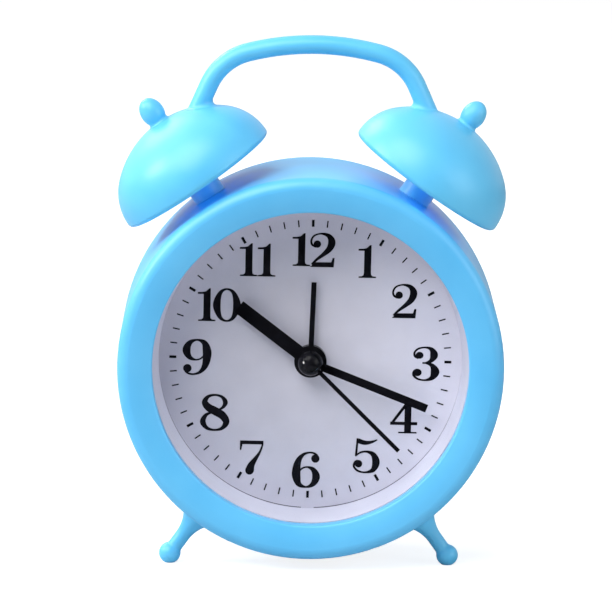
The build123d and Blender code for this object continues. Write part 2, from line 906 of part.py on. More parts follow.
def quartz_crystal():
    place = Pos(
        board_left + board_width / 2,
        depth(board_front - crystal_radius),
        axis_height + board_bottom + crystal_length,
    )
    return place * Cylinder(crystal_radius, crystal_length)


def buzzer():
    front = board_front - buzzer_length
    body = rod(buzzer_radius, front, board_front, buzzer_place)
    return body - rod(buzzer_port_radius, front, front + buzzer_port_depth, buzzer_place)


def alarm_contact_spring():
    front = hour_layer + motion_wheel_thickness + layer_gap / 2
    back = front + contact_leaf_thickness
    low = contact_leaf_rise
    high = low + contact_leaf_width
    leaf = block(hour_radius, inner_half, low, high, front, back)
    return leaf + block(inner_half - contact_leaf_thickness, inner_half, low, high, base_inside, front)


# Cell and contacts
contact_face = inner_half - contact_thickness
cell_end = contact_face - cell_clearance
cell_shoulder = cell_end - cell_nub_length
cell_base = cell_shoulder - cell_length


def lengthwise(radius, low, high):
    place = Pos((low + high) / 2, depth(cell_axis_depth), axis_height + bay_middle) * Rot(0, 90, 0)
    return place * Cylinder(radius, high - low)


def battery_cell():
    nub = lengthwise(cell_nub_radius, cell_shoulder, cell_end)
    return lengthwise(cell_radius, cell_base, cell_shoulder) + nub


def contact_plate(low, high):
    half = contact_size / 2
    return block(
        low, high, bay_middle - half, bay_middle + half, cell_axis_depth - half, cell_axis_depth + half
    )


def contact_plus():
    return contact_plate(contact_face, inner_half) + lengthwise(cell_nub_radius, cell_end, contact_face)


def contact_minus():
    half = contact_size / 2
    inner = half - contact_thickness
    face = -contact_face
    leaf = ThreePointArc((face, bay_middle - half), (cell_base, bay_middle), (face, bay_middle + half))
    leaf += Line((face, bay_middle + half), (face, bay_middle + inner))
    leaf += ThreePointArc(
        (face, bay_middle + inner), (cell_base - contact_thickness, bay_middle), (face, bay_middle - inner)
    )
    leaf += Line((face, bay_middle - inner), (face, bay_middle - half))
    half_leaf = contact_spring_width / 2
    spring = slab(make_face(leaf), cell_axis_depth - half_leaf, cell_axis_depth + half_leaf)
    return contact_plate(-inner_half, face) + spring


# Rear cover with the control well
door_half_width = inner_half - movement_wall / 2 + door_ledge
door_half_height = cell_radius + cell_clearance + door_ledge
switch_plate_width = switch_thumb_width + switch_travel + 2 * switch_plate_margin
switch_plate_height = switch_thumb_height + 2 * switch_plate_margin


# The door and its opening keep inside the well's floor
def door_shape(inset, front, back):
    width = 2 * (door_half_width - inset)
    height = 2 * (door_half_height - inset)
    sheet = Pos(0, bay_middle) * RectangleRounded(width, height, door_corner_radius)
    return slab(sheet & Circle(well_floor_radius - inset), front, back)


def rear_cover():
    outline = Polyline(
        (0, movement_back),
        (well_floor_radius + well_wall, movement_back),
        (well_radius + well_wall, cover_seat),
        (cover_radius, cover_seat),
        (cover_radius, case_depth),
        (well_radius, case_depth),
        (well_floor_radius, panel_back),
        (0, panel_back),
        close=True,
    )
    cover = turned(outline)
    for angle in screw_boss_angles:
        place = on_dial(angle, boss_circle)
        cover -= rod(screw_radius + screw_hole_clearance, cover_seat, case_depth, place)
        head_radius = screw_head_radius + screw_hole_clearance
        cover -= rod(head_radius, case_depth - screw_head_height, case_depth, place)
    ledge_front = panel_back - door_thickness
    cover -= door_shape(0, ledge_front, panel_back)
    cover -= door_shape(door_ledge, movement_back, panel_back)
    for place in (motion_axis, setting_axis):
        cover -= rod(knob_shaft_radius + screw_hole_clearance, movement_back, panel_back, place)
    for index in range(sound_hole_count):
        hole = polar(sound_hole_circle, index * 360 / sound_hole_count, buzzer_place)
        cover -= rod(sound_hole_radius, movement_back, panel_back, hole)
    cover -= rod(sound_hole_radius, movement_back, panel_back, buzzer_place)
    pocket_back = movement_back + switch_plate_thickness + switch_clearance
    half_pocket = (switch_plate_width + switch_travel) / 2 + switch_clearance
    half_height = switch_plate_height / 2 + switch_clearance
    low = switch_rise - half_height
    cover -= block(-half_pocket, half_pocket, low, low + 2 * half_height, movement_back, pocket_back)
    half_slot = (switch_thumb_width + switch_travel) / 2 + switch_clearance
    half_thumb = switch_thumb_height / 2 + switch_clearance
    cover -= block(
        -half_slot, half_slot, switch_rise - half_thumb, switch_rise + half_thumb, movement_back, panel_back
    )
    return cover


# Rear controls
def battery_door():
    door = door_shape(door_clearance, panel_back - door_thickness, panel_back)
    half_grip = door_grip_length / 2
    for index in range(door_grip_count):
        middle = bay_middle + (index - (door_grip_count - 1) / 2) * door_grip_pitch
        low = middle - door_grip_width / 2
        high = low + door_grip_width
        door += block(-half_grip, half_grip, low, high, panel_back, panel_back + door_grip_height)
    return door


def knob(place):
    front = panel_back + knob_gap
    back = front + knob_height
    edge = knob_radius - knob_edge_round
    rim = back - knob_edge_round
    edge_middle = (edge + knob_edge_round * cos(pi / 4), rim + knob_edge_round * sin(pi / 4))
    outline = Polyline((edge, back), (0, back), (0, front), (knob_radius, front), (knob_radius, rim))
    outline += ThreePointArc((knob_radius, rim), edge_middle, (edge, back))
    cap = turned(outline, place)
    for index in range(knob_grooves):
        groove = polar(knob_radius, index * 360 / knob_grooves, place)
        cap -= rod(knob_groove_radius, front, back, groove)
    cap -= rod(knob_recess_radius, back - knob_recess_depth, back, place)
    return cap - rod(knob_shaft_radius + hand_fit, front, back - knob_recess_depth, place)


def alarm_switch():
    front = movement_back + switch_clearance / 2
    middle = -switch_travel / 2
    half_plate = switch_plate_width / 2
    half_height = switch_plate_height / 2
    slider = block(
        middle - half_plate,
        middle + half_plate,
        switch_rise - half_height,
        switch_rise + half_height,
        front,
        front + switch_plate_thickness,
    )
    half_thumb = switch_thumb_width / 2
    half_rise = switch_thumb_height / 2
    return slider + block(
        middle - half_thumb,
        middle + half_thumb,
        switch_rise - half_rise,
        switch_rise + half_rise,
        front,
        panel_back + switch_thumb_stand,
    )


# Screws
def case_screws():
    screws = []
    for angle in screw_boss_angles:
        place = on_dial(angle, boss_circle)
        seat = case_depth - screw_head_height
        tip = cover_seat - screw_length + screw_tip_gap
        head = rod(screw_head_radius, seat, case_depth, place)
        screws.append(head + rod(screw_radius - peg_clearance, tip, seat, place))
    return screws


def bell_screws():
    screws = []
    drop = sqrt(wall_inner_radius**2 - screw_head_radius**2) - case_radius - bell_lift
    seat = drop - screw_hole_clearance
    for side in (-1, 1):
        tip = bell_screw_bite - bell_lift - screw_tip_gap
        shank = Pos(0, 0, (tip + seat) / 2) * Cylinder(screw_radius - peg_clearance, tip - seat)
        head = Pos(0, 0, seat - screw_head_height / 2) * Cylinder(screw_head_radius, screw_head_height)
        screws.append(bell_frame(side) * (shank + head))
    return screws


nodes["front_case"] = front_case()
nodes["rear_cover"] = rear_cover()
nodes["lens"] = lens()
nodes["sight_ring"] = sight_ring()
nodes["dial"] = dial()
for name, side in (("left", -1), ("right", 1)):
    nodes["bell_" + name] = bell(side)
    nodes["bell_knob_" + name] = finial(side)
    nodes["foot_" + name] = foot(side)
nodes["handle"] = handle()
nodes["alarm_hand"] = tube_hand(
    alarm_angle, alarm_length, alarm_width, alarm_hub_radius, alarm_hub_front, alarm_radius
)
nodes["hour_hand"] = tube_hand(
    hour_angle, hour_length, hour_width, hour_hub_radius, hour_hub_front, hour_radius
)
nodes["minute_hand"] = tube_hand(
    minute_angle, minute_length, minute_width, minute_hub_radius, minute_hub_front, minute_radius
)
nodes["second_hand"] = second_hand()
nodes["alarm_wheel"] = alarm_wheel()
nodes["hour_wheel"] = hour_wheel()
nodes["cannon_pinion"] = cannon_pinion()
nodes["motion_wheel"] = motion_wheel()
nodes["alarm_setting_gear"] = alarm_setting_gear()
nodes["centre_wheel"] = centre_wheel()
nodes["third_wheel"] = third_wheel()
nodes["second_wheel"] = second_wheel()
nodes["intermediate_wheel"] = intermediate_wheel()
nodes["rotor"] = rotor()
nodes["movement_base"] = movement_base()
nodes["movement_cover"] = movement_cover()
nodes["stator"] = stator()
nodes["coil_core"] = coil_core()
nodes["coil_bobbin"] = coil_bobbin()
nodes["coil_winding"] = coil_winding()
nodes["circuit_board"] = circuit_board()
nodes["quartz_crystal"] = quartz_crystal()
nodes["buzzer"] = buzzer()
nodes["alarm_contact_spring"] = alarm_contact_spring()
nodes["battery_cell"] = battery_cell()
nodes["contact_plus"] = contact_plus()
nodes["contact_minus"] = contact_minus()
nodes["battery_door"] = battery_door()
nodes["time_knob"] = knob(motion_axis)
nodes["alarm_knob"] = knob(setting_axis)
nodes["alarm_switch"] = alarm_switch()
nodes["case_screws"] = Compound(children=case_screws())
nodes["bell_screws"] = Compound(children=bell_screws())

for name, solid in nodes.items():
    export_step(solid, "parts/" + name + ".step")
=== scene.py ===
import json
import math

import bmesh
import bpy
from mathutils import Matrix, Vector
from mathutils.geometry import delaunay_2d_cdt


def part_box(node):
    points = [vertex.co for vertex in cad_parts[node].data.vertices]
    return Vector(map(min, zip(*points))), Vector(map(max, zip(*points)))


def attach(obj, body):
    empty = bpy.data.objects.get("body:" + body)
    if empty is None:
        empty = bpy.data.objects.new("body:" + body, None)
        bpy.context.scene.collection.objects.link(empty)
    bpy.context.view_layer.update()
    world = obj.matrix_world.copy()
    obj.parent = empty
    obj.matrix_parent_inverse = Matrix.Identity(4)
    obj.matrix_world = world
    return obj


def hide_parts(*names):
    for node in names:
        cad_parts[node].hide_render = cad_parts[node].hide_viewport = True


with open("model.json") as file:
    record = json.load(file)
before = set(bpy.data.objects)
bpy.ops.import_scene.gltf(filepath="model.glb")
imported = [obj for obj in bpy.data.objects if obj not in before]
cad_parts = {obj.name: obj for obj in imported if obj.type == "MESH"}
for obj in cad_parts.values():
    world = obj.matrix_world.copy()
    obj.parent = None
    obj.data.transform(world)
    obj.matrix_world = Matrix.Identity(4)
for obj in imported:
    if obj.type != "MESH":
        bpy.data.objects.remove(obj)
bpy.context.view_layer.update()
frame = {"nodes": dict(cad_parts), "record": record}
cadNodes = frame["nodes"]
subparts = frame["record"]["subparts"]
mm = 0.001
white = (1, 1, 1, 1)
weldGap = 1e-7  # points closer than this are one point
print("frame loaded,", len(cadNodes), "pieces")


# small helpers shared by the pieces
def srgb(red, green, blue):
    # a colour as a screen shows it, in the linear values that Blender takes
    def linear(value):
        share = value / 255
        return share / 12.92 if share <= 0.04045 else ((share + 0.055) / 1.055) ** 2.4
    return (linear(red), linear(green), linear(blue), 1.0)


def newObject(name, data):
    item = bpy.data.objects.new(name, data)
    bpy.context.scene.collection.objects.link(item)
    return item


def meshFromBmesh(name, shape):
    mesh = bpy.data.meshes.new(name)
    shape.to_mesh(mesh)
    shape.free()
    return mesh


def cornersIn(geometry):
    return [item for item in geometry if isinstance(item, bmesh.types.BMVert)]


def circlePoints(x, y, radius, sides):
    turns = [2 * math.pi * k / sides for k in range(sides)]
    return [Vector((x + radius * math.cos(t), y + radius * math.sin(t))) for t in turns]


def facing(direction):
    return direction.to_track_quat("-Z", "Y").to_matrix().to_4x4()


def bareMaterial(name):
    material = bpy.data.materials.new(name)
    material.use_nodes = True
    material.node_tree.nodes.clear()
    return material, material.node_tree


def addNode(tree, kind, inputs):
    # an input is linked where its value is a socket, and set where it is anything else
    node = tree.nodes.new(kind)
    for label, value in inputs.items():
        if isinstance(value, bpy.types.NodeSocket):
            tree.links.new(value, node.inputs[label])
        else:
            node.inputs[label].default_value = value
    return node


def mathNode(tree, operation, first, second):
    node = addNode(tree, "ShaderNodeMath", {0: first, 1: second})
    node.operation = operation
    return node.outputs[0]


def mapRange(tree, value, old, new, kind="LINEAR"):
    limits = {"From Min": old[0], "From Max": old[1], "To Min": new[0], "To Max": new[1]}
    node = addNode(tree, "ShaderNodeMapRange", {"Value": value, **limits})
    node.interpolation_type = kind
    return node.outputs["Result"]


def coordinate(tree, space, axis):
    coords = tree.nodes.new("ShaderNodeTexCoord")
    apart = addNode(tree, "ShaderNodeSeparateXYZ", {0: coords.outputs[space]})
    return apart.outputs[axis]


def mixShaders(tree, share, first, second):
    return addNode(tree, "ShaderNodeMixShader", {"Fac": share, 1: first, 2: second}).outputs[0]


dialLow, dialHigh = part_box("dial")
axisHeight = (dialLow.z + dialHigh.z) / 2
dialFace = dialLow.y
dialTurn = math.radians(-0.6)  # the card sits a little turned
# drawing plane on the dial: x to the right, y up, z towards the viewer
dialPlane = (Matrix.Translation((0, dialFace, axisHeight)) @ Matrix.Rotation(math.pi / 2, 4, "X")
             @ Matrix.Rotation(dialTurn, 4, "Z"))


# camera, placed to the photograph's view
photoView = {
    "targetX": -1.31 * mm,
    "targetZ": 69.32 * mm,
    "elevation": math.radians(9.33),
    "yaw": math.radians(-0.35),
    "roll": math.radians(0.6),
    "distance": 1.35,
    "lens": 292.1,
    "sensor": 36.0,
}


def addCamera(view):
    level = math.cos(view["elevation"])
    back = Vector((math.sin(view["yaw"]) * level, -math.cos(view["yaw"]) * level,
                   math.sin(view["elevation"])))
    lookFrom = Vector((view["targetX"], 0, view["targetZ"])) + back * view["distance"]
    turn = facing(-back) @ Matrix.Rotation(view["roll"], 4, "Z")
    data = bpy.data.cameras.new("photoCamera")
    data.lens = view["lens"]
    data.sensor_width = view["sensor"]
    camera = newObject("photoCamera", data)
    camera.matrix_world = Matrix.Translation(lookFrom) @ turn
    bpy.context.scene.camera = camera


addCamera(photoView)
bpy.context.scene.view_settings.view_transform = "Standard"


# studio: soft light from the upper left, white surround, pale floor
studio = {
    "surround": 0.13,
    "frontGloss": 0.15,
    "frontSpan": (-0.95, -0.45),
    "floorAlbedo": 0.60,
    "floorGlow": 0.84,
    "floorShade": 0.45,
    "flagNear": -0.06,
    "flagFar": -0.25,
    "floorSize": 6.0,
}
# "only" and "skip" name the slot whose pieces alone get a lamp's light, or do without it
lamps = {
    "keyLamp": {"at": (-0.56, -0.74, 1.26), "size": 1.2, "watts": 21.5},
    "windowLamp": {"at": (-1.0, -0.12, 0.62), "size": 0.4, "watts": 7.0},
    "sparkleLamp": {"at": (-0.90, -0.42, 0.18), "size": 0.26, "watts": 22.0, "only": "hand_black"},
    "fillLamp": {"at": (0.95, -0.60, 0.35), "size": 0.8, "watts": 4.4, "skip": "dial_white"},
    "rearLamp": {"at": (-0.65, 0.80, 0.85), "size": 0.5, "watts": 5.0},
}
# the dial's own light: strongest at its right edge, fading to nothing left of the hands
dialLamp = {
    "at": (0.35, -0.90, 0.03),
    "aim": (38 * mm, dialFace, axisHeight - 4 * mm),
    "cone": math.radians(5.9),
    "watts": 7.0,
}
# light that comes through the thin bells, one blue lamp in the hollow of each
bellLamps = {
    "side": 33 * mm,
    "front": -13 * mm,
    "height": 106 * mm,
    "colour": (0.0, 0.45, 1.0),
    "watts": 0.0008,
}


def seenDirectly(tree, path):
    return mathNode(tree, "MAXIMUM", path.outputs["Is Camera Ray"], path.outputs["Is Transmission Ray"])


def backgroundNode(tree, strength):
    return addNode(tree, "ShaderNodeBackground", {"Color": white, "Strength": strength}).outputs[0]


def makeSurround():
    # white all round, but dim towards the viewer for mirrored rays, as in a dark room behind the camera
    world = bpy.data.worlds.new("whiteSurround")
    bpy.context.scene.world = world
    world.use_nodes = True
    tree = world.node_tree
    tree.nodes.clear()
    path = tree.nodes.new("ShaderNodeLightPath")
    depth = coordinate(tree, "Generated", "Y")
    dim = mapRange(tree, depth, studio["frontSpan"], (studio["frontGloss"], 1.0), "SMOOTHSTEP")
    light = backgroundNode(tree, studio["surround"])
    shown = backgroundNode(tree, 1.0)
    seen = mixShaders(tree, seenDirectly(tree, path), light, shown)
    surface = mixShaders(tree, path.outputs["Is Glossy Ray"], seen, backgroundNode(tree, dim))
    addNode(tree, "ShaderNodeOutputWorld", {"Surface": surface})


def makeFloor():
    # glows white for the camera; mirrored rays find it dark in front of the clock
    shape = bmesh.new()
    bmesh.ops.create_grid(shape, x_segments=1, y_segments=1, size=studio["floorSize"] / 2)
    floor = newObject("studioFloor", meshFromBmesh("studioFloor", shape))
    material, tree = bareMaterial("paleFloor")
    path = tree.nodes.new("ShaderNodeLightPath")
    flag = (studio["flagFar"], studio["flagNear"])
    ahead = mapRange(tree, coordinate(tree, "Object", "Y"), flag, (1.0, 0.0), "SMOOTHSTEP")
    dark = mathNode(tree, "MULTIPLY", ahead, path.outputs["Is Glossy Ray"])
    kept = mathNode(tree, "SUBTRACT", 1.0, dark)
    albedo = mathNode(tree, "MULTIPLY", kept, studio["floorAlbedo"])
    bounce = addNode(tree, "ShaderNodeBsdfDiffuse", {"Color": albedo})
    glow = addNode(tree, "ShaderNodeEmission", {"Strength": studio["floorGlow"]})
    shade = addNode(tree, "ShaderNodeBsdfDiffuse", {"Color": (studio["floorShade"],) * 3 + (1,)})
    both = addNode(tree, "ShaderNodeAddShader", {0: glow.outputs[0], 1: shade.outputs[0]})
    surface = mixShaders(tree, seenDirectly(tree, path), bounce.outputs[0], both.outputs[0])
    addNode(tree, "ShaderNodeOutputMaterial", {"Surface": surface})
    floor.data.materials.append(material)


def piecesIn(slot):
    group = bpy.data.collections.new(slot)
    for subpart in subparts:
        if subpart["material_slot"] == slot:
            group.objects.link(cadNodes[subpart["node"]])
    return group


def setReceivers(lamp, slot, state):
    lamp.light_linking.receiver_collection = piecesIn(slot)
    for entry in lamp.light_linking.receiver_collection.collection_objects:
        entry.light_linking.link_state = state


def newLamp(name, kind, watts, place, aim):
    data = bpy.data.lights.new(name, kind)
    data.energy = watts
    lamp = newObject(name, data)
    lamp.matrix_world = Matrix.Translation(place) @ facing(aim - place)
    return lamp


def addAreaLamps():
    for name, settings in lamps.items():
        aim = Vector((0, 0, axisHeight))
        lamp = newLamp(name, "AREA", settings["watts"], Vector(settings["at"]), aim)
        lamp.data.size = settings["size"]
        for key, state in (("only", "INCLUDE"), ("skip", "EXCLUDE")):
            if key in settings:
                setReceivers(lamp, settings[key], state)


def addDialLamp():
    lamp = newLamp("dialLamp", "SPOT", dialLamp["watts"], Vector(dialLamp["at"]), Vector(dialLamp["aim"]))
    lamp.data.spot_size = dialLamp["cone"]
    lamp.data.spot_blend = 1.0
    lamp.data.shadow_soft_size = 0.0
    lamp.data.use_shadow = False
    setReceivers(lamp, "dial_white", "INCLUDE")


def addBellLamps():
    for side in (-1, 1):
        place = Vector((side * bellLamps["side"], bellLamps["front"], bellLamps["height"]))
        lamp = newLamp("bellLamp", "POINT", bellLamps["watts"], place, Vector((0, 0, axisHeight)))
        lamp.data.color = bellLamps["colour"]
        lamp.data.shadow_soft_size = 0.0


makeSurround()
makeFloor()
addAreaLamps()
addDialLamp()
addBellLamps()
print("studio ready")


# finishes: one dictionary each, colours as they look under white light
finishes = {
    "blue_plastic": {
        "name": "skyBluePlastic", "low": srgb(90, 190, 246), "high": srgb(102, 199, 251), "mottle": 45,
        "rough": (0.34, 0.42), "grain": 900, "depth": 0.02 * mm, "shine": 0.5, "metal": 0.0,
    },
    "trim_plastic": {
        "name": "trimBluePlastic", "low": srgb(92, 196, 246), "high": srgb(104, 205, 251), "mottle": 45,
        "rough": (0.34, 0.42), "grain": 900, "depth": 0.02 * mm, "shine": 0.5, "metal": 0.0,
    },
    "rear_texture": {
        "name": "texturedBluePlastic", "low": srgb(88, 188, 244), "high": srgb(96, 194, 248), "mottle": 60,
        "rough": (0.44, 0.54), "grain": 1900, "depth": 0.14 * mm, "shine": 0.45, "metal": 0.0,
    },
    "white_plastic": {
        "name": "whitePlastic", "low": srgb(214, 215, 231), "high": srgb(224, 225, 240), "mottle": 60,
        "rough": (0.40, 0.48), "grain": 900, "depth": 0.015 * mm, "shine": 0.5, "metal": 0.0,
    },
    "dial_white": {
        "name": "dialCard", "low": srgb(209, 208, 222), "high": srgb(216, 215, 229), "mottle": 120,
        "rough": (0.55, 0.65), "grain": 2600, "depth": 0.01 * mm, "shine": 0.4, "metal": 0.0,
    },
    "hand_black": {
        "name": "handBlack", "low": srgb(9, 9, 12), "high": srgb(14, 14, 18), "mottle": 200,
        "rough": (0.05, 0.09), "grain": 1500, "depth": 0.001 * mm, "shine": 0.1, "metal": 0.0,
    },
    "movement_black": {
        "name": "movementBlack", "low": srgb(34, 34, 37), "high": srgb(44, 44, 47), "mottle": 150,
        "rough": (0.48, 0.60), "grain": 2200, "depth": 0.02 * mm, "shine": 0.45, "metal": 0.0,
    },
    "gear_nylon": {
        "name": "gearNylon", "low": srgb(232, 228, 214), "high": srgb(242, 239, 228), "mottle": 180,
        "rough": (0.45, 0.55), "grain": 1800, "depth": 0.01 * mm, "shine": 0.45, "metal": 0.0,
    },
    "bright_steel": {
        "name": "brightSteel", "low": srgb(196, 197, 201), "high": srgb(214, 214, 217), "mottle": 400,
        "rough": (0.20, 0.32), "grain": 3000, "depth": 0.004 * mm, "shine": 0.5, "metal": 1.0,
    },
    "spring_brass": {
        "name": "springBrass", "low": srgb(205, 168, 92), "high": srgb(222, 188, 112), "mottle": 400,
        "rough": (0.24, 0.36), "grain": 3000, "depth": 0.004 * mm, "shine": 0.5, "metal": 1.0,
    },
    "copper_wire": {
        "name": "copperWire", "low": srgb(176, 92, 46), "high": srgb(206, 122, 70), "mottle": 500,
        "rough": (0.25, 0.35), "grain": 4000, "depth": 0.02 * mm, "shine": 0.5, "metal": 1.0,
    },
    "magnet": {
        "name": "sinteredMagnet", "low": srgb(84, 85, 90), "high": srgb(104, 105, 110), "mottle": 900,
        "rough": (0.45, 0.60), "grain": 3500, "depth": 0.012 * mm, "shine": 0.5, "metal": 0.8,
    },
    "board": {
        "name": "boardLaminate", "low": srgb(28, 92, 52), "high": srgb(40, 112, 64), "mottle": 700,
        "rough": (0.40, 0.52), "grain": 2400, "depth": 0.01 * mm, "shine": 0.5, "metal": 0.0,
    },
}
# what all of these share: the span of the cloudy noise that is used, and how fine the noises are
moulding = {"cloudSpan": (0.3, 0.7), "cloudDetail": 3.0, "grainDetail": 2.0, "grainStrength": 0.6}


def noise(tree, place, scale, detail):
    node = addNode(tree, "ShaderNodeTexNoise", {"Vector": place, "Scale": scale, "Detail": detail})
    return node.outputs["Fac"]


def moulded(finish):
    # colour and gloss drift a little over the surface, and a fine grain breaks the reflections
    material = bpy.data.materials.new(finish["name"])
    material.use_nodes = True
    tree = material.node_tree
    shader = tree.nodes["Principled BSDF"]
    shader.inputs["Specular IOR Level"].default_value = finish["shine"]
    shader.inputs["Metallic"].default_value = finish["metal"]
    place = tree.nodes.new("ShaderNodeTexCoord").outputs["Object"]
    cloud = noise(tree, place, finish["mottle"], moulding["cloudDetail"])
    tint = addNode(tree, "ShaderNodeValToRGB", {"Fac": cloud})
    for index, colour in enumerate((finish["low"], finish["high"])):
        tint.color_ramp.elements[index].position = moulding["cloudSpan"][index]
        tint.color_ramp.elements[index].color = colour
    gloss = mapRange(tree, cloud, moulding["cloudSpan"], finish["rough"])
    grain = noise(tree, place, finish["grain"], moulding["grainDetail"])
    relief = {"Strength": moulding["grainStrength"], "Distance": finish["depth"], "Height": grain}
    bump = addNode(tree, "ShaderNodeBump", relief)
    tree.links.new(tint.outputs["Color"], shader.inputs["Base Color"])
    tree.links.new(gloss, shader.inputs["Roughness"])
    tree.links.new(bump.outputs["Normal"], shader.inputs["Normal"])
    return material


lensLook = {"gloss": 0.03, "edgeIndex": 1.1}


def clearLens():
    # see-through with a faint mirror on its outer side, which grows towards grazing angles
    material, tree = bareMaterial("clearLens")
    through = tree.nodes.new("ShaderNodeBsdfTransparent")
    mirror = addNode(tree, "ShaderNodeBsdfGlossy", {"Roughness": lensLook["gloss"]})
    edge = addNode(tree, "ShaderNodeFresnel", {"IOR": lensLook["edgeIndex"]})
    side = tree.nodes.new("ShaderNodeNewGeometry")
    sides = {"Factor": side.outputs["Backfacing"], "A": edge.outputs[0], "B": 0.0}
    outer = addNode(tree, "ShaderNodeMix", sides)
    surface = mixShaders(tree, outer.outputs["Result"], through.outputs[0], mirror.outputs[0])
    addNode(tree, "ShaderNodeOutputMaterial", {"Surface": surface})
    return material


# the cell along its length in mm: steel base, dark sleeve, pale line, gold band, steel nub
cellBands = {
    "end": 25.9,
    "base": srgb(205, 206, 210),
    "stops": [(-24.3, srgb(52, 58, 70), 0.1), (13.2, srgb(214, 214, 218), 0.1),
              (13.9, srgb(196, 142, 70), 0.7), (23.9, srgb(205, 206, 210), 1.0)],
}
sleeveFinish = {
    "name": "cellSleeve", "low": srgb(52, 58, 70), "high": srgb(62, 68, 82), "mottle": 120,
    "rough": (0.26, 0.34), "grain": 1400, "depth": 0.006 * mm, "shine": 0.5, "metal": 0.2,
}


def bandRamp(tree, along, first, others):
    # hard-edged bands: the first colour from the start, each of the others from its place on
    node = addNode(tree, "ShaderNodeValToRGB", {"Fac": along})
    ramp = node.color_ramp
    ramp.interpolation = "CONSTANT"
    ramp.elements.remove(ramp.elements[1])
    ramp.elements[0].color = first
    for place, colour in others:
        ramp.elements.new(place).color = colour
    return node.outputs["Color"]


def bandedCell():
    material = moulded(sleeveFinish)
    tree = material.node_tree
    shader = tree.nodes["Principled BSDF"]
    end = cellBands["end"]
    along = mapRange(tree, coordinate(tree, "Object", "X"), (-end * mm, end * mm), (0.0, 1.0))
    tints, metals = [], []
    for at, tint, metal in cellBands["stops"]:
        place = (at / end + 1) / 2
        tints.append((place, tint))
        metals.append((place, (metal, metal, metal, 1)))
    tree.links.new(bandRamp(tree, along, cellBands["base"], tints), shader.inputs["Base Color"])
    tree.links.new(bandRamp(tree, along, white, metals), shader.inputs["Metallic"])
    return material


materials = {slot: moulded(finish) for slot, finish in finishes.items()}
materials["clear_lens"] = clearLens()
materials["cell_sleeve"] = bandedCell()
otherFinish = {
    "rear_texture": ("rear_cover", "battery_door"),
    "trim_plastic": ("bell_left", "bell_right", "handle", "bell_knob_left", "bell_knob_right",
                     "foot_left", "foot_right"),
}
for subpart in subparts:
    cadNodes[subpart["node"]].data.materials[0] = materials[subpart["material_slot"]]
for finish, nodes in otherFinish.items():
    for node in nodes:
        cadNodes[node].data.materials[0] = materials[finish]
print("finishes set on", len(subparts), "pieces")


# printed numerals: strokes of changing width on a unit height, joined into one outline
numerals = {
    "height": 9.2 * mm,
    "ink": 0.05 * mm,
    "weight": 1.06,
    "steps": 8,
    "ballSides": 28,
}
# middles of the twelve numerals in mm from the hands' axis, to the right and up
numeralPlaces = {
    1: (14.95, 27.2), 2: (25.2, 16.55), 3: (31.4, -0.6), 4: (25.75, -15.4),
    5: (15.75, -26.35), 6: (-0.5, -30.55), 7: (-15.5, -27.45), 8: (-25.7, -15.15),
    9: (-30.85, 0.05), 10: (-25.1, 14.5), 11: (-14.75, 27.05), 12: (0.25, 30.1),
}
# where the two digits of a pair stand beside its middle, in heights
pairPitch = {"10": (-0.35, 0.235), "11": (-0.265, 0.265), "12": (-0.35, 0.27)}
# how wide and tall each digit is printed against its drawing
digitStretch = {
    "0": (1.04, 1.0), "1": (0.95, 0.98), "2": (1.02, 1.02), "3": (1.17, 1.03), "4": (0.98, 0.98),
    "5": (1.03, 1.05), "6": (1.06, 1.09), "7": (1.0, 1.04), "8": (1.12, 1.12), "9": (1.09, 1.08),
}
